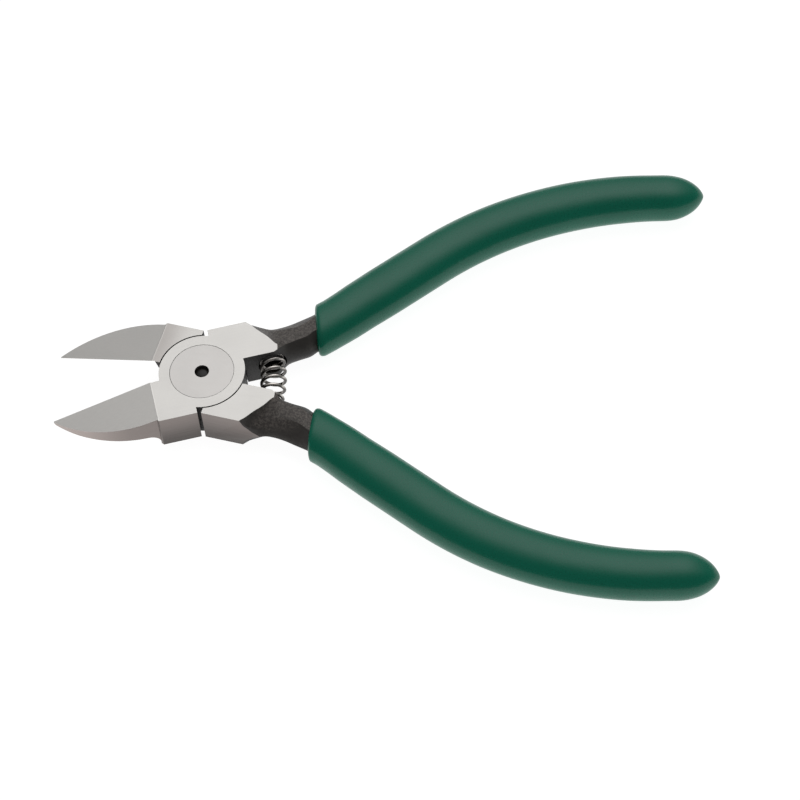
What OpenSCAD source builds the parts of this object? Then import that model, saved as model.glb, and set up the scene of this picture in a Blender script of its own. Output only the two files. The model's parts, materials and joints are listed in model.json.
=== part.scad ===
// Diagonal cutting pliers for electrician's work: two forged halves lapped on one bolt,
// held open by a coil spring, with dipped grips.
// Frame: +Z up, the joint's axis is Z, the head's lower ground face lies in z = 0,
// and the jaws point along -X. The pliers are drawn open, at rest on their spring.

/* [Head] */
// Thickness of the head, both laps together
head_t = 8; // [7.6:0.1:8.6]
// Half the width of the head across its flat sides
head_half_w = 9.1; // [8.9:0.1:9.4]
// Outer radius of each half's lap ring
lap_r = 8.2; // [8:0.1:8.3]
// Distance from the joint's axis to the notch in the head's side, on the jaw's part
jaw_notch_x = 2.6; // [2.5:0.05:2.8]
// The same on the handle's part
root_notch_x = 2.85; // [2.8:0.05:3.2]

/* [Jaws] */
// Length of a jaw from the joint's axis to its tip
jaw_len = 29.3; // [28:0.1:29.6]
// Distance from the joint's axis to the shoulder where the jaws slope
shoulder_x = 10; // [9.8:0.1:10.4]
// Radius of a jaw's curved outer side
jaw_side_r = 24.5; // [24.4:0.1:26]
// Slope of the flush face towards the tip, in degrees
flush_slope = 16.3; // [15:0.1:16.5]
// Angle of the bevel behind the cutting edge, in degrees from upright
bevel_angle = 39; // [35:1:44]

/* [Joint] */
// Angle between the halves at rest, in degrees
open_angle = 29; // [20:1:30]
// Radius of the bolt's flush head
bolt_head_r = 6.1; // [5.6:0.1:6.4]
// Thickness of the bolt's head
bolt_head_t = 1.76; // [1.5:0.02:2]
// Radius of the bolt's shank
shank_r = 3.5; // [3:0.1:3.8]
// Radius of the flush nut underneath
nut_r = 5; // [4.6:0.1:5.4]
// Radius of the black lock pin in the middle of the bolt
pin_r = 1.35; // [1.2:0.05:1.5]

/* [Return spring] */
// Radius of the spring's wire
wire_r = 0.33; // [0.28:0.01:0.36]
// Outer radius of the coil
coil_r = 2.55; // [2.4:0.05:2.6]
// Number of open turns between the closed end turns
open_turns = 5; // [4.5:0.5:5.5]
// Distance from the joint's axis to the spring pockets, along a closed half
pocket_x = 13.6; // [13.4:0.1:13.8]
// Depth of a spring pocket
pocket_depth = 1.7; // [1.5:0.1:1.8]

/* [Grips] */
// Half the width of a grip at its middle
grip_half_w = 5.05; // [4.95:0.05:5.2]
// Half the thickness of a grip
grip_half_t = 4; // [3.8:0.05:4]
// Length of a grip along its middle line
grip_len = 83.8; // [80:0.2:84.4]

/* [Hidden] */

mid_z = head_t / 2;          // the plane where the laps meet
lap_gap = 0.04;              // air between the two lap faces
lap_t = mid_z - lap_gap / 2; // thickness of one lap
ring_gap = 0.25;             // air between a ring and the other half's hollow
inner_y = 0.85;              // a closed half's inner face, from the plane of symmetry
edge_gap = 0.02;             // a closed cutting edge, from the plane of symmetry
run_gap = 0.05;              // radial clearance of the bolt's head in the turning half
shank_gap = 0.03;            // radial clearance of its shank
nut_t = 2.2;                 // thickness of the nut
tail_r = 2.5;                // radius of the bolt's end inside the nut
pin_depth = 1.7;             // depth of the lock pin's hole
pin_sunk = 0.45;             // how far the pin's rim lies below the head
pocket_r = coil_r + 0.25;    // radius of a spring pocket
big = 60;

// ---------------------------------------------------------------- one closed half
// Drawn with its jaw below the x axis and its handle above it.

jaw_half_w = 8.7;            // the jaw's widest place, just past the shoulder
jaw_c = [-shoulder_x - 0.8, jaw_side_r - jaw_half_w]; // centre of the circle its outer side follows

// The jaw and its part of the head, seen from above.
module jaw_outline() {
    intersection() {
        translate(jaw_c) circle(r = jaw_side_r, $fn = 120);
        translate([-jaw_len, -head_half_w]) square([jaw_len - shoulder_x, head_half_w - edge_gap]);
    }
    polygon([[-shoulder_x - 0.2, -jaw_half_w], [-shoulder_x + 0.1, -head_half_w],
             [-jaw_notch_x, -head_half_w], [-jaw_notch_x, -edge_gap], [-shoulder_x - 0.2, -edge_gap]]);
}

// The jaw from the side: the flush slope above, and below a fillet and a nearly flat underside.
module jaw_side() {
    tip_x = -jaw_len - 1;
    step_r = 2.1;
    step = [for (a = [90:-13:-14]) [-shoulder_x - 2.3 + step_r * cos(a), 0.55 + step_r * sin(a)]];
    tip_z = head_t - (-shoulder_x - tip_x) * tan(flush_slope);
    underside = [[tip_x, 1.75], [-jaw_len + 4, 1.75], [-shoulder_x - 8, 2.2]];
    polygon(concat([[0, head_t], [-shoulder_x, head_t], [tip_x, tip_z]], underside, step, [[0, 0]]));
}

// What the bevel takes away below the cutting edge, from the stop face to the tip.
module bevel() {
    stop_l = 0.6; // how far past the shoulder the bevel runs
    translate([-shoulder_x, 0, head_t]) rotate([-bevel_angle, -flush_slope, 0])
        translate([-big / 2, 0, -big / 2]) cube([big / 2 + stop_l, big / 2, big / 2]);
}

module jaw() {
    difference() {
        intersection() {
            linear_extrude(head_t) jaw_outline();
            translate([0, big / 2, 0]) rotate([90, 0, 0]) linear_extrude(big) jaw_side();
        }
        bevel();
    }
}

// The full-thickness root of the handle, ground flat on both faces.
module root() {
    linear_extrude(head_t)
        polygon([[root_notch_x, inner_y], [14.5, inner_y], [14.9, 1.3], [15, 2.2], [14.5, 3.4], [13.4, 5],
                 [10.7, 8.5], [10, head_half_w], [root_notch_x, head_half_w]]);
}

// ---------------------------------------------------------------- the handle's line
// The handle leaves the head, bows outwards, runs straight, and bends back in one long arc.
line_start = [15, 4.5];
bend = [[7.4, 23.3, 60], [23.3, -14, 71]]; // heading at start and end, and radius, of each arc
straight = 19.4;                           // length between the arcs
s1 = bend[0][2] * (bend[0][1] - bend[0][0]) * PI / 180;
s2 = s1 + straight;
s3 = s2 + bend[1][2] * (bend[1][0] - bend[1][1]) * PI / 180;

function heading(s) =
    s < s1 ? bend[0][0] + s / bend[0][2] * 180 / PI :
    s < s2 ? bend[0][1] :
    s < s3 ? bend[0][1] - (s - s2) / bend[1][2] * 180 / PI : bend[1][1];
function along(h, d) = d * [cos(h), sin(h)];
function arc_to(h0, h1, r) = r * [sin(h1) - sin(h0), cos(h0) - cos(h1)];
end1 = line_start + arc_to(bend[0][0], bend[0][1], bend[0][2]);
end2 = end1 + along(bend[0][1], straight);
end3 = end2 - arc_to(bend[1][0], bend[1][1], bend[1][2]);
function middle(s) =
    s < s1 ? line_start + arc_to(bend[0][0], heading(s), bend[0][2]) :
    s < s2 ? end1 + along(bend[0][1], s - s1) :
    s < s3 ? end2 - arc_to(bend[1][0], heading(s), bend[1][2]) : end3 + along(bend[1][1], s - s3);

mouth_s = 8.4;                  // where the grip starts along the handle's line
mouth_turn = -8;                // the heading that the grip's mouth faces, in degrees
tang_end_s = 80;                // where the steel ends inside the grip
tip_s = mouth_s + grip_len;

// A ring of points on an upright plane through c that faces heading h.
function ring(c, h, section) =
    [for (p = section) [c[0] - p[0] * sin(h), c[1] + p[0] * cos(h), mid_z + p[1]]];

// Section of the forged handle: [inner side, ridge, plateau edge, outer ridge, outer side],
// the first and last across the handle only, the others across and up. Its sides are rounded.
function forged(f) =
    let (top = concat([for (a = [0:22.5:90]) [f[1][0] + (f[0] - f[1][0]) * cos(a), f[1][1] * sin(a)]],
                      [f[2]],
                      [for (a = [90:-22.5:0]) [f[3][0] + (f[4] - f[3][0]) * cos(a), f[3][1] * sin(a)]]))
    concat(top, [for (i = [len(top) - 2:-1:1]) [top[i][0], -top[i][1]]]);

// Section of the grip: a full oval with as many points as the forged section.
function oval(w, t) =
    let (n = 20, power = 2 / 2.3)
    [for (i = [0:n - 1]) let (a = 180 - i * 360 / n)
        [w * sign(cos(a)) * abs(cos(a)) ^ power, t * sign(sin(a)) * abs(sin(a)) ^ power]];

// Rings of the bare handle at chosen distances from the joint's axis, up to the grip's mouth.
bare = [
    [9, [1, [2, 3.8], [5, 3.85], [8, 3.8], 8.8]],
    [10.2, [inner_y + 0.02, [inner_y + 0.02, 3.97], [7, 3.97], [8.9, 3.7], 9.06]],
    [12, [inner_y + 0.02, [inner_y + 0.02, 3.97], [6.4, 3.9], [8.9, 1.7], 9.02]],
    [13.7, [inner_y + 0.02, [inner_y + 0.02, 3.97], [4.5, 3.85], [8, 1.2], 8.9]],
    [15, [inner_y + 0.02, [1, 3.75], [3, 3.7], [6.9, 1.9], 8.5]],
    [16.4, [1, [2.2, 3.4], [3.7, 3.5], [6.1, 2.6], 8.2]],
    [18.5, [1, [2.8, 3.25], [4.2, 3.35], [5.8, 2.9], 8.3]],
    [21, [1.2, [3.2, 3.2], [4.7, 3.3], [6.1, 2.9], 8.75]],
];
function in_grip(s) =
    let (w = lookup(s, [[mouth_s, 3.8], [mouth_s + mouth_l, 3.7], [70, 3.75], [tang_end_s, 3.1]]),
         t = lookup(s, [[mouth_s, 3.2], [mouth_s + mouth_l, 3.1], [70, 3.1], [tang_end_s, 2.6]]))
    [-w, [-0.5 * w, t], [0, t + 0.05], [0.35 * w, t], w];
mouth_l = 5; // length over which the grip's upright planes turn from the mouth's to its own
inner_s = [mouth_s, mouth_s + 2,
           for (k = [0:12]) mouth_s + mouth_l + k * (tang_end_s - mouth_s - mouth_l) / 12];
function turn_at(s) =
    s > mouth_s + mouth_l ? heading(s) :
    mouth_turn + (s - mouth_s) / mouth_l * (heading(mouth_s + mouth_l) - mouth_turn);
inner_rings = [for (s = inner_s) ring(middle(s), turn_at(s), forged(in_grip(s)))];

// Skin a row of rings into one closed solid.
module skin(rings) {
    n = len(rings[0]);
    last = len(rings) - 1;
    points = [for (r = rings) for (p = r) p];
    sides = [for (j = [0:last - 1]) for (i = [0:n - 1]) let (k = (i + 1) % n)
        each [[j * n + i, j * n + k, (j + 1) * n + k], [j * n + i, (j + 1) * n + k, (j + 1) * n + i]]];
    ends = [[for (i = [n - 1:-1:0]) i], [for (i = [0:n - 1]) last * n + i]];
    polyhedron(points, concat(sides, ends));
}

module tang() {
    skin(concat([for (b = bare) ring([b[0], 0], 0, forged(b[1]))], inner_rings));
}

// The pocket that seats one end of the return spring.
module spring_pocket() {
    translate([pocket_x, inner_y + pocket_depth, mid_z]) rotate([90, 0, 0])
        cylinder(h = pocket_depth + 2, r = pocket_r, $fn = 64);
}

// A half whose lap is the upper or the lower one.
module half(is_upper) {
    lap_z = is_upper ? mid_z + lap_gap / 2 : 0;
    hollow_z = is_upper ? -1 : mid_z - lap_gap / 2;
    difference() {
        union() {
            jaw();
            root();
            tang();
            translate([0, 0, lap_z]) cylinder(h = lap_t, r = lap_r, $fn = 96);
        }
        translate([0, 0, hollow_z])
            cylinder(h = mid_z + 1 + lap_gap / 2, r = lap_r + ring_gap, $fn = 96);
        spring_pocket();
    }
}

// Puts a closed half where it rests: the upper half's handle on +Y, the lower half's on -Y.
module at_rest(is_upper) {
    rotate(is_upper ? open_angle / 2 : -open_angle / 2)
        mirror([0, is_upper ? 0 : 1, 0]) children();
}

// ---------------------------------------------------------------- the pieces
module upper_half() {
    color("gainsboro") difference() {
        at_rest(true) half(true);
        translate([0, 0, head_t - bolt_head_t - lap_gap])
            cylinder(h = 5, r = bolt_head_r + run_gap, $fn = 96);
        cylinder(h = 3 * head_t, r = shank_r + shank_gap, center = true, $fn = 64);
    }
}

module lower_half() {
    color("silver") difference() {
        at_rest(false) half(false);
        cylinder(h = 3 * head_t, r = shank_r, center = true, $fn = 64);
        translate([0, 0, nut_t - 5]) cylinder(h = 5, r = nut_r, $fn = 64);
    }
}

// The joint's bolt: a flush head, a shank for the turning half and a thin end for the nut.
module pivot_bolt() {
    color("lightgray") difference() {
        union() {
            cylinder(h = head_t, r = tail_r, $fn = 64);
            translate([0, 0, nut_t]) cylinder(h = head_t - nut_t, r = shank_r, $fn = 64);
            translate([0, 0, head_t - bolt_head_t]) cylinder(h = bolt_head_t, r = bolt_head_r, $fn = 96);
        }
        translate([0, 0, head_t - pin_depth]) cylinder(h = pin_depth + 1, r = pin_r, $fn = 48);
    }
}

module pivot_nut() {
    color("lightgray") difference() {
        cylinder(h = nut_t, r = nut_r, $fn = 64);
        translate([0, 0, -1]) cylinder(h = nut_t + 2, r = tail_r, $fn = 64);
    }
}

// A black pin with a domed end, sunk in the middle of the bolt.
module lock_pin() {
    rim_z = head_t - pin_sunk - 0.3;
    ball_r = 3;
    color("#202020") intersection() {
        translate([0, 0, head_t - pin_depth]) cylinder(h = pin_depth, r = pin_r, $fn = 48);
        translate([0, 0, rim_z - sqrt(ball_r ^ 2 - pin_r ^ 2)]) sphere(r = ball_r, $fn = 48);
    }
}

// The spring's middle line is an arc that meets both pocket floors squarely.
half_open = open_angle / 2;
floor_p = [pocket_x * cos(half_open) - (inner_y + pocket_depth) * sin(half_open),
           pocket_x * sin(half_open) + (inner_y + pocket_depth) * cos(half_open)];
spring_arc_r = floor_p[1] / sin(half_open);
spring_arc_x = floor_p[0] - spring_arc_r * cos(half_open);
end_gap = 0.06;              // air between the end turns and the pocket floors
end_turns = 1;               // closed turns at each end
all_turns = open_turns + 2 * end_turns;

// How far along the arc the wire has climbed after t turns, from 0 to 1.
spring_l = 2 * spring_arc_r * half_open * PI / 180 - 2 * end_gap - 2 * wire_r;
end_climb = 2 * wire_r * 1.03 * end_turns;
function climb(t) =
    t < end_turns ? end_climb * t / end_turns :
    t > all_turns - end_turns ? spring_l - end_climb * (all_turns - t) / end_turns :
    end_climb + (spring_l - 2 * end_climb) * (t - end_turns) / open_turns;
function coil_at(t) =
    let (a = (climb(t) / spring_l - 0.5) * spring_l / spring_arc_r * 180 / PI,
         turn = 90 + 360 * t, r = coil_r - wire_r, out = spring_arc_r + r * cos(turn))
    [spring_arc_x + out * cos(a), out * sin(a), mid_z - r * sin(turn)];

module return_spring() {
    steps = 18;              // rings in one turn
    sides = 6;               // facets round the wire
    rings = [for (k = [0:all_turns * steps])
        let (t = k / steps, p = coil_at(t), d = coil_at(t + 0.01) - coil_at(t - 0.01),
             v = cross(d, [0, 1, 0]), u = v / norm(v), w = cross(u, d / norm(d)))
        [for (i = [0:sides - 1]) p + wire_r * (u * cos(i * 360 / sides) + w * sin(i * 360 / sides))]];
    color("darkgray") skin(rings);
}

// Half the width and thickness of the grip along its line, then a blunt rounded end.
nose_l = 10; // length of the rounded end
lip_l = 1.6; // length of the rounded rim at the mouth
function grip_w(s) = lookup(s, [[mouth_s, 4.95], [mouth_s + 4, 4.78], [24, grip_half_w],
                                [49, grip_half_w - 0.05], [66, 4.9], [76, 4.75], [82, 4.55], [95, 4.45]]);
function blunt(s) = let (t = max(0, (s - tip_s + nose_l) / nose_l)) sqrt(max(0, 1 - t ^ 2.5));
outer_s = [mouth_s, mouth_s + 0.5,
           for (k = [0:15]) mouth_s + lip_l + k * (tip_s - mouth_s - nose_l - lip_l) / 15,
           for (d = [8:-2:2]) tip_s - d, tip_s - 1, tip_s - 0.4, tip_s - 0.08];
// How far the grip's middle lies from the handle's line, towards the outer side.
function shift(s) = lookup(s, [[mouth_s, -0.2], [mouth_s + 10, 0.12], [50, 0.12], [70, 0],
                               [tip_s - 5, -0.12], [tip_s - 1.5, 0], [tip_s, 0.15]]);
function lip(s) = s <= mouth_s ? 0.55 : s < mouth_s + 1 ? 0.12 : 0; // rounding of the mouth's rim

module grip() {
    outer = [for (s = outer_s)
        let (c = middle(s) + shift(s) * [-sin(heading(s)), cos(heading(s))],
             w = (grip_w(s) - lip(s)) * blunt(s) / cos(heading(s) - turn_at(s)),
             t = (grip_half_t - lip(s)) * blunt(s))
        ring(c, turn_at(s), oval(w, t))];
    inner = [for (k = [len(inner_rings) - 1:-1:0]) inner_rings[k]];
    skin(concat(inner, outer));
}

module upper_grip() { color("#19553f") at_rest(true) grip(); }
module lower_grip() { color("#19553f") at_rest(false) grip(); }

upper_half();
lower_half();
pivot_bolt();
pivot_nut();
lock_pin();
return_spring();
upper_grip();
lower_grip();
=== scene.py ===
import json
import math

import bpy
import numpy as np
from bpy.props import FloatProperty, FloatVectorProperty, IntProperty, PointerProperty
from mathutils import Matrix, Vector

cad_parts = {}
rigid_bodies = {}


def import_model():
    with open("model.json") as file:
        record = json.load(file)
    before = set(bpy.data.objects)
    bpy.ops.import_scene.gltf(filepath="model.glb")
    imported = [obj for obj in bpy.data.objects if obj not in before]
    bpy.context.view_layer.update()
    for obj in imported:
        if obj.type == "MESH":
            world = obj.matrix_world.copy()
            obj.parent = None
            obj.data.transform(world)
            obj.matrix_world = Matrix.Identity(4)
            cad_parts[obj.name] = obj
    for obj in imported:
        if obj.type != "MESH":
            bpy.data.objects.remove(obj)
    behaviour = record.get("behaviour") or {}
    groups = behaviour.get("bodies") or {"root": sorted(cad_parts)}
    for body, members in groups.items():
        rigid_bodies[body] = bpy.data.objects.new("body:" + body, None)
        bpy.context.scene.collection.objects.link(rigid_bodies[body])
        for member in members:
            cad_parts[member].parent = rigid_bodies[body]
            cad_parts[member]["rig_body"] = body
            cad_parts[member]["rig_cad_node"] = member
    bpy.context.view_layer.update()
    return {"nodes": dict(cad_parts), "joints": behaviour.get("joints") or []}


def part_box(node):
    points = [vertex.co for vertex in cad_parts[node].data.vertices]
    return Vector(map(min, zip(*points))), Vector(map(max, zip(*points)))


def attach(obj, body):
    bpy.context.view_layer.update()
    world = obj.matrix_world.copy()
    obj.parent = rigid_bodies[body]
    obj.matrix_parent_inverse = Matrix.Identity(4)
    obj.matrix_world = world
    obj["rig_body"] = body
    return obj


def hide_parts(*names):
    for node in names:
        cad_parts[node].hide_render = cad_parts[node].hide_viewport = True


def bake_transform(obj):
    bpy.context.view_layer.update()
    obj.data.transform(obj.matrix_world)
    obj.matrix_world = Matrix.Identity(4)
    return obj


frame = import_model()

bl_info = {
    "name": "Diagonal Cutting Pliers",
    "version": (1, 0, 0),
    "blender": (4, 5, 0),
    "location": "View3D > Sidebar > Pliers",
    "description": "Builds the looks of a pair of diagonal cutting pliers round their CAD frame",
    "category": "Add Mesh",
}

MM = 0.001  # pieces are modelled in millimetres and settled in metres
LOWER, UPPER = "lower_arm", "upper_arm"
BOLT_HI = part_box("pivot_bolt")[1] / MM
PIN_LO, PIN_HI = (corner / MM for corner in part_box("lock_pin"))
NUT_LO, NUT_HI = (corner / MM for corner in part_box("pivot_nut"))
HEAD_T = BOLT_HI.z  # the bolt fills the head from face to face
MID_Z = HEAD_T / 2
OPEN_ANGLE = frame["joints"][0]["range_deg"][1]


# ---------------------------------------------------------------- sizes and finishes
class PliersSizes(bpy.types.PropertyGroup):
    """Sizes of the closed pliers, in millimetres and degrees"""

    half_w: FloatProperty(name="Head half width", description="Half the width across the head's flat sides",
                          default=9.1, min=8)
    inner_y: FloatProperty(name="Inner face", description="From the plane of symmetry to a half's inner face",
                           default=0.85, min=0)
    shoulder_x: FloatProperty(name="Shoulder", description="Where the jaws begin to slope", default=10)
    root_x: FloatProperty(name="Root", description="Where the forged handle starts on the head", default=10)
    lap_r: FloatProperty(name="Lap radius", description="Outer radius of the hollow round a lap ring",
                         default=8.45)
    crisp: FloatProperty(name="Ground edge", description="Width of the broken edge between ground faces",
                         default=0.05, min=0)
    keen: FloatProperty(name="Cutting edge", description="Width of the honed flat on the cutting edge",
                        default=0.04, min=0)
    mouth_s: FloatProperty(name="Grip mouth", description="Where the grip starts along the handle's line",
                           default=8.4)
    mouth_l: FloatProperty(name="Mouth length", description="Length over which the mouth's heading fades out",
                           default=5)
    mouth_turn: FloatProperty(name="Mouth heading", description="Heading that the grip's mouth faces",
                              default=-8)
    grip_len: FloatProperty(name="Grip length", description="Length of a grip along the handle's line",
                            default=83.8)
    grip_w: FloatProperty(name="Grip half width", description="Half the width of a grip at its middle",
                          default=5.05)
    grip_t: FloatProperty(name="Grip half thickness", description="Half the thickness of a grip", default=4)
    nose: FloatProperty(name="Nose", description="Length over which a grip tapers to its blunt tip",
                        default=8)
    lip_r: FloatProperty(name="Lip", description="Radius of the rounded rim at the grip's mouth",
                         default=1.05)
    tang_end: FloatProperty(name="Tang end", description="Where the steel ends inside the grip", default=80)
    wire_r: FloatProperty(name="Spring wire", description="Radius of the spring's wire", default=0.33)
    coil_r: FloatProperty(name="Spring coil", description="Outer radius of the spring", default=2.55)
    open_turns: IntProperty(name="Open turns", description="Turns between the closed end turns", default=5)
    pocket_x: FloatProperty(name="Pocket place", description="Distance of the spring pockets from the bolt",
                            default=13.6)
    pocket_depth: FloatProperty(name="Pocket depth", description="Depth of a spring pocket", default=1.7)
    seam: FloatProperty(name="Seam", description="Chamfer on each side of the bolt's seam", default=0.08)
    bolt_head_t: FloatProperty(name="Bolt head", description="Thickness of the bolt's head", default=1.76)
    shank_r: FloatProperty(name="Shank", description="Radius of the bolt's shank", default=3.5)
    tail_r: FloatProperty(name="Bolt end", description="Radius of the bolt's end inside the nut", default=2.5)
    crown: FloatProperty(name="Pin crown", description="Height of the lock pin's rounded end", default=0.45)


class PliersFinishes(bpy.types.PropertyGroup):
    """Colours of the finishes"""

    ground: FloatVectorProperty(name="Ground steel", description="Freshly ground tool steel", subtype="COLOR",
                                default=(0.566, 0.553, 0.533))
    # Painted shade: the side colour draws the upright sides darker than the ground tops, with a warm tint.
    side: FloatVectorProperty(name="Belt-ground sides", description="Coarser, warmer side faces",
                              subtype="COLOR", default=(0.19, 0.162, 0.152))
    bolt: FloatVectorProperty(name="Bolt steel", description="Turned and faced bolt", subtype="COLOR",
                              default=(0.5, 0.485, 0.47))
    black: FloatVectorProperty(name="Black steel", description="Phosphated forging", subtype="COLOR",
                               default=(0.039, 0.0345, 0.031))
    spring: FloatVectorProperty(name="Spring steel", description="Bright drawn wire", subtype="COLOR",
                                default=(0.7, 0.66, 0.62))
    vinyl: FloatVectorProperty(name="Grip vinyl", description="Dipped green vinyl", subtype="COLOR",
                               default=(0.0006, 0.15, 0.089))
    floor: FloatVectorProperty(name="Floor", description="Pale floor", subtype="COLOR",
                               default=(0.2, 0.2, 0.2))


# ---------------------------------------------------------------- modelling helpers
def deselect():
    if bpy.context.object and bpy.context.object.mode != "OBJECT":
        bpy.ops.object.mode_set(mode="OBJECT")
    bpy.ops.object.select_all(action="DESELECT")


def activate(piece):
    deselect()
    piece.select_set(True)
    bpy.context.view_layer.objects.active = piece


def named(name):
    """The object that was just added, under its own name."""
    piece = bpy.context.object
    piece.name = piece.data.name = name
    return piece


def pick_faces(piece, wanted):
    """Selects the faces that wanted(centre, normal) is true for, and leaves the piece in edit mode."""
    activate(piece)
    bpy.ops.object.mode_set(mode="EDIT")
    bpy.ops.mesh.select_mode(type="FACE")
    bpy.ops.mesh.select_all(action="DESELECT")
    bpy.ops.object.mode_set(mode="OBJECT")
    for face in piece.data.polygons:
        face.select = wanted(face.center, face.normal)
    bpy.ops.object.mode_set(mode="EDIT")


def in_edit(piece, *steps):
    """Runs edit-mode steps on the whole piece."""
    activate(piece)
    bpy.ops.object.mode_set(mode="EDIT")
    bpy.ops.mesh.select_all(action="SELECT")
    for step in steps:
        step()
    bpy.ops.object.mode_set(mode="OBJECT")


def weld(distance=1e-4):
    return lambda: bpy.ops.mesh.remove_doubles(threshold=distance)


def face_out():
    bpy.ops.mesh.normals_make_consistent(inside=False)


def cut(piece, point, normal):
    """Takes away what lies beyond a plane, and closes the cut."""
    def bisect():
        bpy.ops.mesh.bisect(plane_co=point, plane_no=normal, use_fill=True, clear_outer=True, threshold=1e-5)
    in_edit(piece, bisect)


def modify(piece, kind, **settings):
    """Adds a modifier with these settings and applies it."""
    activate(piece)
    bpy.ops.object.modifier_add(type=kind)
    modifier = piece.modifiers[-1]
    for key, value in settings.items():
        setattr(modifier, key, value)
    bpy.ops.object.modifier_apply(modifier=modifier.name)


def combine(piece, tool, operation):
    """Joins a tool to a piece or cuts it out, and throws the tool away."""
    modify(piece, "BOOLEAN", object=tool, operation=operation, solver="EXACT")
    bpy.data.objects.remove(tool)


def skin(name, rings):
    """A closed skin over rows of points: a primitive grid wrapped round, welded and filled at its ends."""
    rings = np.array(rings, float)
    rows, around = rings.shape[:2]
    deselect()
    bpy.ops.mesh.primitive_grid_add(x_subdivisions=around, y_subdivisions=rows - 1, size=2)
    piece = named(name)
    wrapped = np.concatenate([rings, rings[:, :1]], axis=1)
    piece.data.vertices.foreach_set("co", wrapped.astype(np.float32).ravel())
    piece.data.update()
    in_edit(piece, weld(), lambda: bpy.ops.mesh.fill_holes(sides=0), face_out)
    return piece


def copy_of(piece, name):
    activate(piece)
    bpy.ops.object.duplicate(linked=False)
    return named(name)


def settle(piece, is_upper):
    """Turns a piece drawn on a closed half, in millimetres, to where that half rests, in metres."""
    side = 1 if is_upper else -1
    turn = Matrix.Rotation(side * math.radians(OPEN_ANGLE / 2), 4, "Z")
    piece.data.transform(Matrix.Scale(MM, 4) @ turn @ Matrix.Diagonal((1, side, 1, 1)))
    if not is_upper:
        piece.data.flip_normals()
    piece.data.update()


def smooth(piece, degrees=30):
    activate(piece)
    bpy.ops.object.shade_smooth_by_angle(angle=math.radians(degrees))


def hand_over(piece, body, node):
    """Puts a finished piece on its body, in place of its CAD node."""
    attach(piece, body)
    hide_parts(node)


def finer(rings, steps):
    """Adds rings between the given ones, on smooth curves through their points."""
    rings = np.array(rings, float)
    gaps = np.linalg.norm(np.diff(rings.mean(axis=1), axis=0), axis=1)[:, None, None]
    rise = np.diff(rings, axis=0) / gaps
    slope = np.concatenate([rise[:1], (rise[:-1] * gaps[1:] + rise[1:] * gaps[:-1]) / (gaps[1:] + gaps[:-1]),
                            rise[-1:]])
    made = []
    for i, gap in enumerate(gaps):
        for t in np.arange(steps) / steps:
            made.append((2 * t ** 3 - 3 * t ** 2 + 1) * rings[i] + (t ** 3 - 2 * t ** 2 + t) * gap * slope[i]
                        + (3 * t ** 2 - 2 * t ** 3) * rings[i + 1] + (t ** 3 - t ** 2) * gap * slope[i + 1])
    return np.array(made + [rings[-1]])


# ---------------------------------------------------------------- the handle's line
LINE_START = np.array([15, 4.5])
BOW = (7.4, 23.3, 60)      # heading at start and end, and radius, of the arc that bows outwards
BACK = (23.3, -14, 71)     # the same for the long arc back
STRAIGHT = 19.4            # length between the arcs
BOW_END = BOW[2] * math.radians(BOW[1] - BOW[0])
BACK_START = BOW_END + STRAIGHT


def heading(s):
    """Heading of the handle's line after s millimetres, in degrees."""
    if s < BOW_END:
        return BOW[0] + math.degrees(s / BOW[2])
    if s < BACK_START:
        return BOW[1]
    return max(BACK[1], BACK[0] - math.degrees((s - BACK_START) / BACK[2]))


def middle(s):
    """Point of the handle's line after s millimetres."""
    steps = np.linspace(0, s, 200)
    halfway = (steps[1:] + steps[:-1]) / 2
    angles = np.radians([heading(x) for x in halfway])
    return LINE_START + np.array([np.cos(angles).sum(), np.sin(angles).sum()]) * s / 199


def ring(centre, degrees, section):
    """A section's points, (across, up), on the upright plane through centre that faces a heading."""
    a = math.radians(degrees)
    return [(centre[0] - y * math.sin(a), centre[1] + y * math.cos(a), MID_Z + z) for y, z in section]


def table(s, *rows):
    """Reads a value between (place, value) rows."""
    return np.interp(s, [r[0] for r in rows], [r[1] for r in rows])


# ---------------------------------------------------------------- the halves
def between(a, b, share):
    """The point at a share of the way from a to b."""
    return a[0] + (b[0] - a[0]) * share, a[1] + (b[1] - a[1]) * share


def forged(inner, ridge, crest, edge, outer):
    """Section of a forged handle: side, ridge, land, slope, outer ridge and side, then the same below."""
    side = [(ridge[0] + (inner - ridge[0]) * (1 - t * t), ridge[1] * t) for t in np.linspace(0, 1, 7)]
    land = [between(ridge, crest, t) for t in (0.33, 0.67)]
    slope = [between(crest, edge, t) for t in (0, 0.2, 0.4, 0.6, 0.8)]
    back = [(edge[0] + (outer - edge[0]) * (1 - t ** 1.4), edge[1] * t) for t in np.linspace(1, 0, 9)]
    top = side + land + slope + back
    return top + [(y, -z) for y, z in top[-2:0:-1]]


def tang_section(s, sizes):
    """Section of the steel inside the grip, s millimetres along the handle's line."""
    m, settled = sizes.mouth_s, sizes.mouth_s + sizes.mouth_l
    w = table(s, (m, 3.8), (settled, 3.7), (70, 3.75), (sizes.tang_end, 3.1))
    inner = w + table(s, (m, 0.45), (settled, 0.1), (m + 12, 0))
    t = table(s, (m, 3.2), (settled, 3.1), (70, 3.1), (sizes.tang_end, 2.6))
    return forged(-inner, (-0.5 * w, t), (0, t + 0.05), (0.35 * w, t), w)


def turn_at(s, sizes):
    """Heading that an upright section faces: the mouth's own at the mouth, and the line's further on."""
    m, settled = sizes.mouth_s, sizes.mouth_s + sizes.mouth_l
    return heading(s) if s > settled else table(s, (m, sizes.mouth_turn), (settled, heading(settled)))


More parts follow.
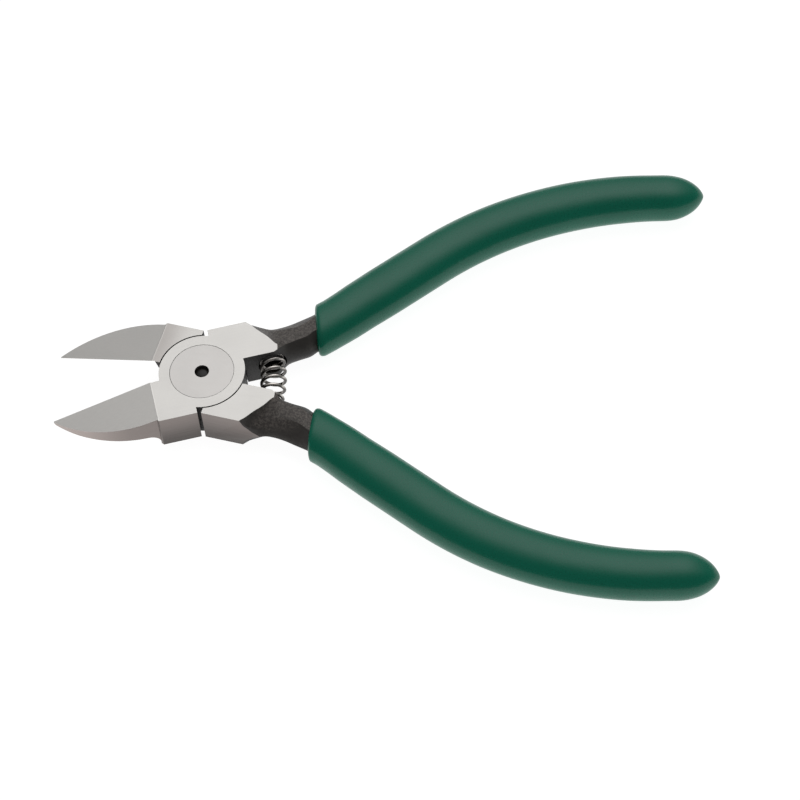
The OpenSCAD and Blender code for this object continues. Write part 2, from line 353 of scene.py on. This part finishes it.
# Sections of the bare handle at distances from the bolt, before the head is ground:
# [distance, inner side, ridge, crest, outer edge, outer side].
BARE = [
    [9.4, 0.2, (0.2, 5.4), (8.4, 5.3), (9.8, 5.2), 10],
    [10.7, 0.3, (0.3, 5), (8.2, 4.6), (9.05, 3.3), 9.55],
    [12, 0.45, (0.45, 4.8), (6.4, 4.35), (8.95, 2.1), 9.35],
    [13.7, 0.6, (0.7, 4.25), (4.25, 4.22), (8.3, 1.5), 9.15],
    [15, 0.9, (1.3, 3.97), (2.4, 4.03), (6.95, 2.1), 8.7],
    [16.4, 1, (2.2, 3.42), (3.6, 3.52), (6.3, 2.75), 8.6],
    [18.5, 1.1, (2.8, 3.25), (4.2, 3.33), (6, 3), 8.8],
    [21, 1.25, (3.3, 3.2), (4.7, 3.26), (6.3, 3.1), 9.35],
]


def forged_tang(sizes):
    """The forged handle on a closed half, ground flat where it meets the head."""
    rings = [ring((x, 0), 0, forged(*section)) for x, *section in BARE]
    for s in [sizes.mouth_s, sizes.mouth_s + 3, *np.linspace(sizes.mouth_s + 6, sizes.tang_end, 12)]:
        rings.append(ring(middle(s), turn_at(s, sizes), tang_section(s, sizes)))
    tang = skin("tang", finer(rings, 6))
    cut(tang, (0, 0, HEAD_T), (0, 0, 1))
    cut(tang, (0, 0, 0), (0, 0, -1))
    cut(tang, (0, sizes.inner_y, 0), (0, -1, 0))
    cut(tang, (sizes.root_x, 0, 0), (-1, 0, 0))
    deselect()
    bpy.ops.mesh.primitive_cube_add(size=HEAD_T * 2, location=(sizes.root_x, sizes.half_w + HEAD_T, MID_Z))
    combine(tang, named("side_grind"), "DIFFERENCE")
    deselect()
    bpy.ops.mesh.primitive_cylinder_add(
        vertices=64, radius=sizes.coil_r + 0.25, depth=2 * sizes.pocket_depth,
        location=(sizes.pocket_x, sizes.inner_y, MID_Z), rotation=(math.pi / 2, 0, 0))
    combine(tang, named("pocket"), "DIFFERENCE")
    return tang


def cad_head(node, is_upper, sizes):
    """The jaw and head of a CAD half, brought back to its closed place, in millimetres."""
    source = frame["nodes"][node]
    head = source.copy()
    head.data = source.data.copy()
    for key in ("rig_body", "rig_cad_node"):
        del head[key]
    head.parent = None
    bpy.context.scene.collection.objects.link(head)
    side = 1 if is_upper else -1
    back = Matrix.Rotation(-side * math.radians(OPEN_ANGLE / 2), 4, "Z")
    head.data.transform(Matrix.Diagonal((1, side, 1, 1)) @ back @ Matrix.Scale(1 / MM, 4))
    if not is_upper:
        head.data.flip_normals()
    activate(head)
    bpy.ops.mesh.customdata_custom_splitnormals_clear()
    in_edit(head, weld(1e-3), lambda: bpy.ops.mesh.dissolve_limited(angle_limit=math.radians(0.3)))
    cut(head, (sizes.root_x, 0, 0), (1, 0, 0))
    return head


def is_ground(centre, normal, sizes):
    """True on a face that is ground bright: the flat faces, the sides of the head and all of the jaw."""
    flat = abs(abs(centre.z - MID_Z) - MID_Z) < 0.005
    side = normal.y > 0.99 and abs(centre.y - sizes.half_w) < 0.02
    in_hollow = math.hypot(centre.x, centre.y) < sizes.lap_r + 0.1 and abs(normal.z) < 0.9
    notch = normal.x > 0.9 and centre.x > -4
    stop = normal.y > 0.9 and centre.x > -sizes.shoulder_x - 0.7
    jaw = centre.x < -2.5 and not (in_hollow or notch or stop)
    return flat or side or jaw


def break_edges(piece, sizes):
    """Bevels the edges between ground faces, and hones the cutting edge."""
    mesh = piece.data
    faces_at = {}
    for face in mesh.polygons:
        for key in face.edge_keys:
            faces_at.setdefault(key, []).append(face)
    activate(piece)
    layer = mesh.attributes.new("bevel_weight_edge", "FLOAT", "EDGE")
    for edge in mesh.edges:
        pair = faces_at.get(tuple(sorted(edge.vertices)), [])
        if len(pair) != 2 or any(face.material_index for face in pair):
            continue
        if pair[0].normal.angle(pair[1].normal, 0) < math.radians(25):
            continue
        a, b = (mesh.vertices[i].co for i in edge.vertices)
        cutting = max(a.x, b.x) < 0.5 - sizes.shoulder_x and min(a.y, b.y) > -0.4
        layer.data[edge.index].value = sizes.keen / sizes.crisp if cutting else 1
    modify(piece, "BEVEL", width=sizes.crisp, segments=1, limit_method="WEIGHT", use_clamp_overlap=True)


def make_half(node, name, is_upper, tang, sizes, finishes):
    half = cad_head(node, is_upper, sizes)
    half.name = half.data.name = name
    combine(half, copy_of(tang, "tang_copy"), "UNION")
    half.data.materials.clear()
    for finish in (ground_steel(finishes, sizes, is_upper), black_steel(finishes)):
        half.data.materials.append(finish)
    in_edit(half, weld(1e-3), lambda: bpy.ops.mesh.dissolve_limited(angle_limit=math.radians(0.2)))
    for face in half.data.polygons:
        face.material_index = 0 if is_ground(face.center, face.normal, sizes) else 1
    break_edges(half, sizes)
    smooth(half, 28)
    for face in half.data.polygons:
        if face.material_index == 0 and abs(face.normal.z) > 0.9:
            face.use_smooth = False
    settle(half, is_upper)
    hand_over(half, UPPER if is_upper else LOWER, node)


class PLIERS_OT_halves(bpy.types.Operator):
    """Forge and grind the two halves: each has a jaw, half of the lap joint and a handle"""

    bl_idname = "pliers.halves"
    bl_label = "Halves"

    def execute(self, context):
        sizes, finishes = context.scene.pliers_sizes, context.scene.pliers_finishes
        tang = forged_tang(sizes)
        make_half("upper_half", "upper_half_steel", True, tang, sizes, finishes)
        make_half("lower_half", "lower_half_steel", False, tang, sizes, finishes)
        bpy.data.objects.remove(tang)
        return {"FINISHED"}


# ---------------------------------------------------------------- the joint
def add_disc(name, radius, low_z, high_z, vertices=128):
    deselect()
    bpy.ops.mesh.primitive_cylinder_add(vertices=vertices, radius=radius, depth=high_z - low_z,
                                        location=(0, 0, (low_z + high_z) / 2))
    disc = named(name)
    bpy.ops.object.transform_apply(location=True, rotation=True, scale=True)
    return disc


def step_face(piece, z, inset, move, up=True):
    """Insets the flat face at height z, then pushes what is left along Z."""
    pick_faces(piece, lambda c, n: abs(c.z - z) < 1e-3 and (n.z > 0.9) == up and abs(n.z) > 0.9
               and math.hypot(c.x, c.y) < 0.1)
    bpy.ops.mesh.inset(thickness=inset)
    bpy.ops.mesh.extrude_region_move(TRANSFORM_OT_translate={"value": (0, 0, move)})
    bpy.ops.object.mode_set(mode="OBJECT")


def finish_turned(piece, seam):
    modify(piece, "BEVEL", width=seam, segments=2, limit_method="ANGLE", angle_limit=math.radians(40))
    smooth(piece)
    modify(piece, "WEIGHTED_NORMAL", keep_sharp=True, weight=100)
    piece.data.transform(Matrix.Scale(MM, 4))


class PLIERS_OT_bolt(bpy.types.Operator):
    """Turn the bolt: a flush head with a hole in its middle, a shank and a thin end"""

    bl_idname = "pliers.bolt"
    bl_label = "Bolt"

    def execute(self, context):
        sizes, finishes = context.scene.pliers_sizes, context.scene.pliers_finishes
        under_head = HEAD_T - sizes.bolt_head_t
        bolt = add_disc("bolt_steel", BOLT_HI.x, under_head, HEAD_T)
        step_face(bolt, HEAD_T, BOLT_HI.x - PIN_HI.x, PIN_LO.z - HEAD_T)
        step_face(bolt, under_head, BOLT_HI.x - sizes.shank_r, NUT_HI.z - under_head, up=False)
        step_face(bolt, NUT_HI.z, sizes.shank_r - sizes.tail_r, -NUT_HI.z, up=False)
        finish_turned(bolt, sizes.seam)
        bolt.data.materials.append(turned_steel(finishes))
        hand_over(bolt, LOWER, "pivot_bolt")
        return {"FINISHED"}


class PLIERS_OT_nut(bpy.types.Operator):
    """Turn the flush nut on the underside"""

    bl_idname = "pliers.nut"
    bl_label = "Nut"

    def execute(self, context):
        sizes, finishes = context.scene.pliers_sizes, context.scene.pliers_finishes
        nut = add_disc("nut_steel", NUT_HI.x, NUT_LO.z, NUT_HI.z)
        pick_faces(nut, lambda c, n: abs(n.z) > 0.9)
        bpy.ops.mesh.inset(thickness=NUT_HI.x - sizes.tail_r)
        bpy.ops.mesh.bridge_edge_loops()
        bpy.ops.object.mode_set(mode="OBJECT")
        finish_turned(nut, sizes.seam)
        nut.data.materials.append(turned_steel(finishes))
        hand_over(nut, LOWER, "pivot_nut")
        return {"FINISHED"}


class PLIERS_OT_pin(bpy.types.Operator):
    """Round the black lock pin in the middle of the bolt"""

    bl_idname = "pliers.pin"
    bl_label = "Lock pin"

    def execute(self, context):
        sizes, finishes = context.scene.pliers_sizes, context.scene.pliers_finishes
        radius, crown = PIN_HI.x, sizes.crown
        pin = add_disc("lock_pin_black", radius, PIN_LO.z, PIN_HI.z - crown, 64)
        levels = 8
        z = PIN_HI.z - crown
        for i in range(levels):
            near, far = (radius * math.cos(math.pi / 2 * k / levels) for k in (i, i + 0.999))
            rise = crown * (math.sin(math.pi / 2 * (i + 1) / levels) - math.sin(math.pi / 2 * i / levels))
            pick_faces(pin, lambda c, n: n.z > 0.9 and abs(c.z - z) < 1e-3 and math.hypot(c.x, c.y) < 1e-3)
            bpy.ops.mesh.inset(thickness=near - far)
            bpy.ops.transform.translate(value=(0, 0, rise))
            bpy.ops.object.mode_set(mode="OBJECT")
            z += rise
        smooth(pin, 50)
        pin.data.transform(Matrix.Scale(MM, 4))
        pin.data.materials.append(black_oxide(finishes))
        hand_over(pin, LOWER, "lock_pin")
        return {"FINISHED"}


class PLIERS_OT_spring(bpy.types.Operator):
    """Wind the return spring between the two pockets"""

    bl_idname = "pliers.spring"
    bl_label = "Return spring"

    def execute(self, context):
        sizes, finishes = context.scene.pliers_sizes, context.scene.pliers_finishes
        half = math.radians(OPEN_ANGLE / 2)
        floor_y = sizes.inner_y + sizes.pocket_depth
        seat = (sizes.pocket_x * math.cos(half) - floor_y * math.sin(half),
                sizes.pocket_x * math.sin(half) + floor_y * math.cos(half))
        arc_r = seat[1] / math.sin(half)
        arc_x = seat[0] - arc_r * math.cos(half)
        gap = 0.06   # air between an end turn and its pocket's floor
        closed = 1   # closed turns at each end
        wire = 2 * sizes.wire_r
        length = 2 * arc_r * half - 2 * gap - wire
        turns = sizes.open_turns + 2 * closed
        lift = wire * 1.03 * closed
        coil_r = sizes.coil_r - sizes.wire_r
        points = []
        for t in np.linspace(0, turns, int(turns * 40)):
            climb = table(t, (0, 0), (closed, lift), (turns - closed, length - lift), (turns, length))
            a = (climb - length / 2) / arc_r
            turn = 2 * math.pi * (t + 0.25)
            r = arc_r + coil_r * math.cos(turn)
            points.append((arc_x + r * math.cos(a), r * math.sin(a), MID_Z - coil_r * math.sin(turn)))
        line = bpy.data.curves.new("spring_wire", "CURVE")
        line.dimensions = "3D"
        line.bevel_depth, line.bevel_resolution, line.use_fill_caps = sizes.wire_r, 3, True
        spline = line.splines.new("POLY")
        spline.points.add(len(points) - 1)
        for point, place in zip(spline.points, points):
            point.co = (*place, 1)
        spring = bpy.data.objects.new("spring_wire", line)
        context.scene.collection.objects.link(spring)
        activate(spring)
        bpy.ops.object.convert(target="MESH")
        spring = named("spring_wire")
        in_edit(spring, weld(1e-4), face_out)
        smooth(spring, 60)
        spring.data.transform(Matrix.Scale(MM, 4))
        spring.data.materials.append(bright_wire(finishes))
        share = 0.13  # share of the reach that lies beyond each end
        reach = seat[1] * MM / (1 - 2 * share)
        -reach
        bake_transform(spring)
        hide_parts("return_spring")
        return {"FINISHED"}


# ---------------------------------------------------------------- the grips
def oval(w, t, count=56, power=2 / 2.3):
    """A full oval section with its flats softened."""
    def soften(x):
        return np.sign(x) * abs(x) ** power

    angles = np.linspace(math.pi, -math.pi, count, endpoint=False)
    return [(w * soften(math.cos(a)), t * soften(math.sin(a))) for a in angles]


def bore(section, like, share):
    """A section's own outline at the angles of another's points, shrunk to a share."""
    angles = np.array([math.atan2(z, y) for y, z in section])
    radii = np.array([math.hypot(y, z) for y, z in section])
    order = np.argsort(angles)
    angles, radii = angles[order], radii[order]
    angles = np.concatenate([angles - 2 * math.pi, angles, angles + 2 * math.pi])
    radii = np.concatenate([radii, radii, radii])
    made = []
    for y, z in like:
        a = math.atan2(z, y)
        r = share * np.interp(a, angles, radii)
        made.append((r * math.cos(a), r * math.sin(a)))
    return made


def grip_rings(sizes):
    """Rings of a dipped grip: up the bore to the mouth, round the lip and along to the blunt tip."""
    m, tip = sizes.mouth_s, sizes.mouth_s + sizes.grip_len
    made = []

    def outline(s, shrink):
        nose = max(0, 1 - (tip - s) / sizes.nose)
        blunt = max(0, 1 - nose ** 2.2) ** 0.65
        off = table(s, (m, -0.2), (m + 10, 0.12), (50, 0.12), (70, 0),
                    (tip - 5, -0.12), (tip - 1.5, 0), (tip, 0.15))
        w = table(s, (m, 4.95), (m + 4, 4.78), (24, sizes.grip_w), (49, sizes.grip_w - 0.05),
                  (66, 4.9), (76, 4.75), (82, 4.55), (95, 4.45))
        turn = turn_at(s, sizes)
        a = math.radians(heading(s))
        centre = middle(s) + off * np.array([-math.sin(a), math.cos(a)])
        across = (w - shrink) * blunt / math.cos(a - math.radians(turn))
        return ring(centre, turn, oval(max(across, 1e-5), max((sizes.grip_t - shrink) * blunt, 1e-5)))

    unit = oval(1, 0.8)
    for s in (m + 12, m + 6, m + 2, m):
        made.append(ring(middle(s), turn_at(s, sizes), bore(tang_section(s, sizes), unit, 0.99)))
    for a in np.radians(np.arange(0, 91, 15)):
        made.append(outline(m + sizes.lip_r * (1 - math.sin(a)), sizes.lip_r * (1 - math.cos(a))))
    lip = made[4:]
    made[4:] = lip[::-1]
    made += [outline(s, 0) for s in np.linspace(m + 1.6, tip - 10, 70)]
    made += [outline(tip - 10 * u ** 1.8, 0) for u in np.linspace(1, 0, 24)[1:]]
    return made


class PLIERS_OT_grips(bpy.types.Operator):
    """Dip the two vinyl grips over the tangs"""

    bl_idname = "pliers.grips"
    bl_label = "Grips"

    def execute(self, context):
        sizes, finishes = context.scene.pliers_sizes, context.scene.pliers_finishes
        upper = skin("upper_grip_vinyl", grip_rings(sizes))
        upper.data.materials.append(dipped_vinyl(finishes))
        smooth(upper, 60)
        lower = copy_of(upper, "lower_grip_vinyl")
        for piece, body, is_upper in ((upper, UPPER, True), (lower, LOWER, False)):
            settle(piece, is_upper)
            hand_over(piece, body, "upper_grip" if is_upper else "lower_grip")
        return {"FINISHED"}


# ---------------------------------------------------------------- shader kit
class Wire:
    """A number on a wire between nodes: arithmetic on it adds Math nodes."""

    def __init__(self, graph, socket):
        self.graph, self.socket = graph, socket

    def math(self, operation, *values):
        node = self.graph.add("ShaderNodeMath", {"operation": operation}, dict(enumerate(values)))
        return Wire(self.graph, node.outputs[0])

    def __add__(self, other):
        return self.math("ADD", self, other)

    def __rsub__(self, other):
        return self.math("SUBTRACT", other, self)

    def __mul__(self, other):
        return self.math("MULTIPLY", self, other)

    def __pow__(self, other):
        return self.math("POWER", self, other)

    def size(self):
        return self.math("ABSOLUTE", self)

    def at_least(self, other):
        return self.math("MAXIMUM", self, other)

    __radd__, __rmul__ = __add__, __mul__


class Graph:
    """A tree of shader nodes under construction."""

    def __init__(self, tree):
        self.tree = tree

    def add(self, kind, settings=None, sockets=None):
        """Adds a node: its settings first, then a value or a link for each socket."""
        node = self.tree.nodes.new(kind)
        for key, value in (settings or {}).items():
            setattr(node, key, value)
        for key, value in (sockets or {}).items():
            self.feed(node.inputs[key], value)
        return node

    def feed(self, socket, value):
        if isinstance(value, Wire):
            self.tree.links.new(value.socket, socket)
        elif isinstance(value, bpy.types.NodeSocket):
            self.tree.links.new(value, socket)
        else:
            socket.default_value = value

    def part(self, vector, axis):
        """One of a vector's three numbers."""
        return Wire(self, self.add("ShaderNodeSeparateXYZ", None, {0: vector}).outputs[axis])


class Finish(Graph):
    """A material under construction, with one Principled shader."""

    def __init__(self, name, **constants):
        self.material = bpy.data.materials.new(name)
        self.material.use_nodes = True
        super().__init__(self.material.node_tree)
        self.shader = self.tree.nodes["Principled BSDF"]
        for socket, value in constants.items():
            self.shader.inputs[socket.replace("_", " ")].default_value = value

    def set(self, name, value):
        self.feed(self.shader.inputs[name], value)

    def place(self, degrees=0, stretch=(1, 1, 1)):
        """The piece's own coordinates, turned about Z and stretched."""
        own = self.add("ShaderNodeTexCoord").outputs["Object"]
        turned = self.add("ShaderNodeMapping", {"vector_type": "POINT"},
                          {"Vector": own, "Rotation": (0, 0, math.radians(degrees))}).outputs[0]
        return self.add("ShaderNodeVectorMath", {"operation": "MULTIPLY"}, {0: turned, 1: stretch}).outputs[0]

    def noise(self, place, scale, detail=2, roughness=0.5):
        node = self.add("ShaderNodeTexNoise", None, {"Vector": place, "Scale": scale, "Detail": detail,
                                                     "Roughness": roughness})
        return Wire(self, node.outputs["Factor" if "Factor" in node.outputs else "Fac"])

    def ramp(self, value, low, high):
        """0 up to low, 1 from high on, smooth between."""
        node = self.add("ShaderNodeMapRange", {"interpolation_type": "SMOOTHSTEP"},
                        {"Value": value, "From Min": low, "From Max": high})
        return Wire(self, node.outputs[0])

    def mix(self, share, a, b):
        """Colour a where share is 0 and b where it is 1."""
        node = self.add("ShaderNodeMix", {"data_type": "RGBA"})
        for socket, value in ((node.inputs["Factor"], share), (node.inputs[6], a), (node.inputs[7], b)):
            self.feed(socket, value if not isinstance(value, tuple) or len(value) == 4 else (*value, 1))
        return node.outputs[2]

    def bump(self, height, distance):
        node = self.add("ShaderNodeBump", None, {"Height": height, "Distance": distance, "Strength": 1})
        self.set("Normal", node.outputs[0])

    def upward(self):
        """How much a face looks up, from -1 to 1. Every joint turns about Z, so a pose keeps it."""
        return self.part(self.add("ShaderNodeNewGeometry").outputs["Normal"], "Z")


def shade(colour, factor):
    return tuple(min(1, c * factor) for c in colour)


def ground_steel(finishes, sizes, is_upper):
    """Surface-ground steel: long fine scratches along the closed tool. It carries painted light and shade:
    upright sides painted darker with a warm tint, the head's sides darker towards the bottom, the jaws' outer
    walls lighter towards the tips, the jaw faces brighter (the upper half's most), and the lower half's top
    darker just before the jaw.
    """
    f = Finish("ground_steel_" + ("upper" if is_upper else "lower"), Metallic=1, IOR=2.5)
    ground, warm_tint_painted_shade = finishes.ground, finishes.side
    back = -OPEN_ANGLE / 2 if is_upper else OPEN_ANGLE / 2  # turns a half to its closed place
    along = f.place(back, (0.035, 1, 1))
    lines = f.noise(along, 3600, 4, 0.65)
    fine = f.noise(along, 14000, 2)
    cloud = f.noise(f.place(), 160, 3)
    # Painted shade: faces that look up or down take the ground colour, upright sides take the darker,
    # warm-tinted side colour.
    flat = f.ramp(f.upward().size(), 0.35, 0.75)
    own = f.place(back)
    from_bolt = f.part(own, "X") * -1  # towards the jaws' tips, in metres
    jaw = f.ramp(from_bolt, (sizes.shoulder_x - 0.3) * MM, (sizes.shoulder_x + 0.3) * MM)
    # Painted shade: on the head, the sides darken towards the bottom.
    low = f.ramp(f.part(own, "Z"), 0, HEAD_T * MM) * (1 - jaw)
    # Painted light: the jaws' outer walls lighten towards the tips.
    tip = f.mix(f.ramp(from_bolt, 0.014, 0.028), shade(warm_tint_painted_shade, 1.15), shade(warm_tint_painted_shade, 2.2))
    side = f.mix(jaw, f.mix(low, shade(warm_tint_painted_shade, 0.35), shade(warm_tint_painted_shade, 1.1)), tip)
    side = f.mix(lines, side, f.mix(0.15, side, shade(ground, 1)))
    tone = f.mix(lines * 0.6 + cloud * 0.4, shade(ground, 0.9), shade(ground, 1.07))
    # Painted shade: from 4 to 10 mm out from the bolt, the lower half's top turns halfway to the darker side
    # colour.
    if not is_upper:
        tone = f.mix(f.ramp(from_bolt, 0.004, 0.010) * 0.5, tone, side)
    # Painted light: the jaw faces are brighter than the head, the upper half's by a further 13 percent.
    upper_jaw_painted_light = 1.13 if is_upper else 1
    tone = f.mix(jaw, tone, f.mix(lines, shade(ground, 1.15 * upper_jaw_painted_light), shade(ground, 1.28 * upper_jaw_painted_light)))
    f.set("Base Color", f.mix(flat, side, tone))
    f.set("Roughness", 0.30 + lines * 0.10 + cloud * 0.10)
    f.bump(lines + fine * 0.5, 0.000012)
    return f.material


def turned_steel(finishes):
    """Faced steel of the bolt and the nut, ground flush with the head."""
    f = Finish("turned_steel", Metallic=1, IOR=2.5)
    along = f.place(4, (0.05, 1, 1))
    lines = f.noise(along, 5200, 3, 0.6)
    cloud = f.noise(f.place(), 220, 3)
    f.set("Base Color", f.mix(lines * 0.6 + cloud * 0.4, shade(finishes.bolt, 0.94),
                              shade(finishes.bolt, 1.05)))
    f.set("Roughness", 0.30 + lines * 0.08 + cloud * 0.10)
    f.bump(lines, 0.00001)
    return f.material


def black_steel(finishes):
    """Phosphated forging: sooty, speckled and slightly rough, with painted shade on its upright walls and
    painted light on its top lands.
    """
    f = Finish("black_steel", Metallic=0.35, IOR=1.6)
    own = f.place()
    grit = f.noise(own, 5200, 4, 0.7)
    cloud = f.noise(own, 520, 3)
    blotch = f.noise(own, 2500, 3, 0.6)
    near_head = 1 - f.ramp(f.part(own, "X"), 0.013, 0.019)
    sooty = finishes.black
    # Painted light: the top lands, reaching further near the head, take a lighter speckle; the other faces
    # take the darker base.
    top = f.ramp(f.upward().size() + near_head * 0.13, 0.71, 0.86)
    # Painted shade: upright walls are darker than sloped and flat faces.
    base = f.mix(f.ramp(f.upward().size(), 0.1, 0.5), shade(sooty, 0.35), shade(sooty, 1.1))
    speckle_and_painted_light = f.mix(f.ramp(blotch * 0.6 + grit * 0.4, 0.42, 0.6), shade(sooty, 1.3), shade(sooty, 3.6))
    f.set("Base Color", f.mix(top, base, speckle_and_painted_light))
    f.set("Roughness", 0.46 + cloud * 0.12)
    f.bump(grit + cloud * 0.6, 0.00006)
    return f.material


def black_oxide(finishes):
    """Oiled black oxide of the lock pin."""
    f = Finish("black_oxide", Metallic=0, IOR=1.35)
    cloud = f.noise(f.place(), 2400, 3)
    f.set("Base Color", f.mix(cloud, shade(finishes.black, 0.15), shade(finishes.black, 0.4)))
    f.set("Roughness", 0.26 + cloud * 0.12)
    f.bump(cloud, 0.00001)
    return f.material


def bright_wire(finishes):
    """Drawn spring wire with fine marks, and painted shade on the faces that look down."""
    f = Finish("bright_wire", Metallic=1, IOR=2.5)
    marks = f.noise(f.place(), 3000, 3)
    bright = f.mix(marks, shade(finishes.spring, 0.85), shade(finishes.spring, 1.15))
    # Painted shade: the wire darkens to near black where it faces down.
    f.set("Base Color", f.mix(f.ramp(f.upward(), -0.1, 0.75), shade(finishes.spring, 0.12), bright))
    f.set("Roughness", 0.16 + marks * 0.14)
    f.bump(marks, 0.000006)
    return f.material


def dipped_vinyl(finishes):
    """Dipped vinyl: soft sheen over a very fine skin, with slow waves from dipping."""
    f = Finish("dipped_vinyl", IOR=1.4)
    own = f.place()
    waves = f.noise(own, 90, 2)
    skin_grain = f.noise(own, 2600, 3, 0.6)
    f.set("Base Color", f.mix(waves * 0.6 + skin_grain * 0.4, shade(finishes.vinyl, 0.88),
                              shade(finishes.vinyl, 1.12)))
    f.set("Roughness", 0.24 + skin_grain * 0.08)
    f.bump(waves * 0.8 + skin_grain * 0.05, 0.0003)
    return f.material


# ---------------------------------------------------------------- the stage
AMBIENT = 0.14
# Broad soft lights: [the way to the light, how tight its glow is, its power].
LIGHTS = [
    [(0.1, 0.45, 0.89), 8, 1.65],
    [(-0.1, 0.75, 0.65), 3, 0.3],
]


class PLIERS_OT_stage(bpy.types.Operator):
    """Lay the pale floor, light it softly and set the camera"""

    bl_idname = "pliers.stage"
    bl_label = "Stage"

    def execute(self, context):
        finishes = context.scene.pliers_finishes
        deselect()
        bpy.ops.mesh.primitive_plane_add(size=6, location=(0, 0, -0.0001))
        floor = named("floor")
        paint = Finish("floor_paint", Roughness=0.9)
        cloud = paint.noise(paint.place(), 3)
        paint.set("Base Color", paint.mix(cloud, shade(finishes.floor, 0.99), shade(finishes.floor, 1.0)))
        paint.set("Emission Color", (1, 1, 1, 1))
        paint.set("Emission Strength", 0.95)
        floor.data.materials.append(paint.material)

        world = bpy.data.worlds.new("studio")
        context.scene.world = world
        world.use_nodes = True
        sky = Graph(world.node_tree)
        way = sky.add("ShaderNodeTexCoord").outputs["Generated"]
        glow = AMBIENT
        for facing, tightness, power in LIGHTS:
            towards = sky.add("ShaderNodeVectorMath", {"operation": "DOT_PRODUCT"},
                              {0: way, 1: Vector(facing).normalized()}).outputs["Value"]
            glow = Wire(sky, towards).at_least(0) ** tightness * power + glow
        background = world.node_tree.nodes["Background"]
        background.inputs["Color"].default_value = (1, 1, 1, 1)
        sky.feed(background.inputs["Strength"], glow)

        elevation, azimuth, roll = (math.radians(x) for x in (55.62, 5.95, -5.47))
        level = Vector((math.cos(azimuth), math.sin(azimuth), 0))
        back = Vector((math.sin(azimuth) * math.cos(elevation), -math.cos(azimuth) * math.cos(elevation),
                       math.sin(elevation)))
        rise = back.cross(level)
        right = math.cos(roll) * level + math.sin(roll) * rise
        up = math.cos(roll) * rise - math.sin(roll) * level
        away, aside, below = 543.8, 37.23, 3.20  # of the joint's middle, in millimetres
        place = (Vector((0, 0, MID_Z)) + back * away + right * aside - up * below) * MM
        bpy.ops.object.camera_add(location=place)
        camera = bpy.context.object
        turned = Matrix((right, up, back)).transposed().to_4x4()
        camera.matrix_world = Matrix.Translation(camera.location) @ turned
        camera.data.lens = 128.8
        camera.data.sensor_width = 36
        camera.data.clip_start, camera.data.clip_end = 0.01, 20
        context.scene.camera = camera
        context.scene.view_settings.view_transform = "Standard"
        return {"FINISHED"}


# ---------------------------------------------------------------- the panel
OPERATORS = (PLIERS_OT_halves, PLIERS_OT_bolt, PLIERS_OT_nut, PLIERS_OT_pin, PLIERS_OT_spring,
             PLIERS_OT_grips, PLIERS_OT_stage)


class PLIERS_PT_panel(bpy.types.Panel):
    """Sizes, finishes and one button for each group of pieces"""

    bl_label = "Pliers"
    bl_idname = "PLIERS_PT_panel"
    bl_space_type = "VIEW_3D"
    bl_region_type = "UI"
    bl_category = "Pliers"

    def draw(self, context):
        for operator in OPERATORS:
            self.layout.operator(operator.bl_idname)
        for group in (context.scene.pliers_sizes, context.scene.pliers_finishes):
            for name in group.__annotations__:
                self.layout.prop(group, name)


CLASSES = (PliersSizes, PliersFinishes, *OPERATORS, PLIERS_PT_panel)


def register():
    for cls in CLASSES:
        bpy.utils.register_class(cls)
    bpy.types.Scene.pliers_sizes = PointerProperty(type=PliersSizes)
    bpy.types.Scene.pliers_finishes = PointerProperty(type=PliersFinishes)


def unregister():
    del bpy.types.Scene.pliers_finishes
    del bpy.types.Scene.pliers_sizes
    for cls in reversed(CLASSES):
        bpy.utils.unregister_class(cls)


def main():
    register()
    bpy.ops.pliers.halves()
    bpy.ops.pliers.bolt()
    bpy.ops.pliers.nut()
    bpy.ops.pliers.pin()
    bpy.ops.pliers.spring()
    bpy.ops.pliers.grips()
    bpy.ops.pliers.stage()


if __name__ == "__main__":
    main()
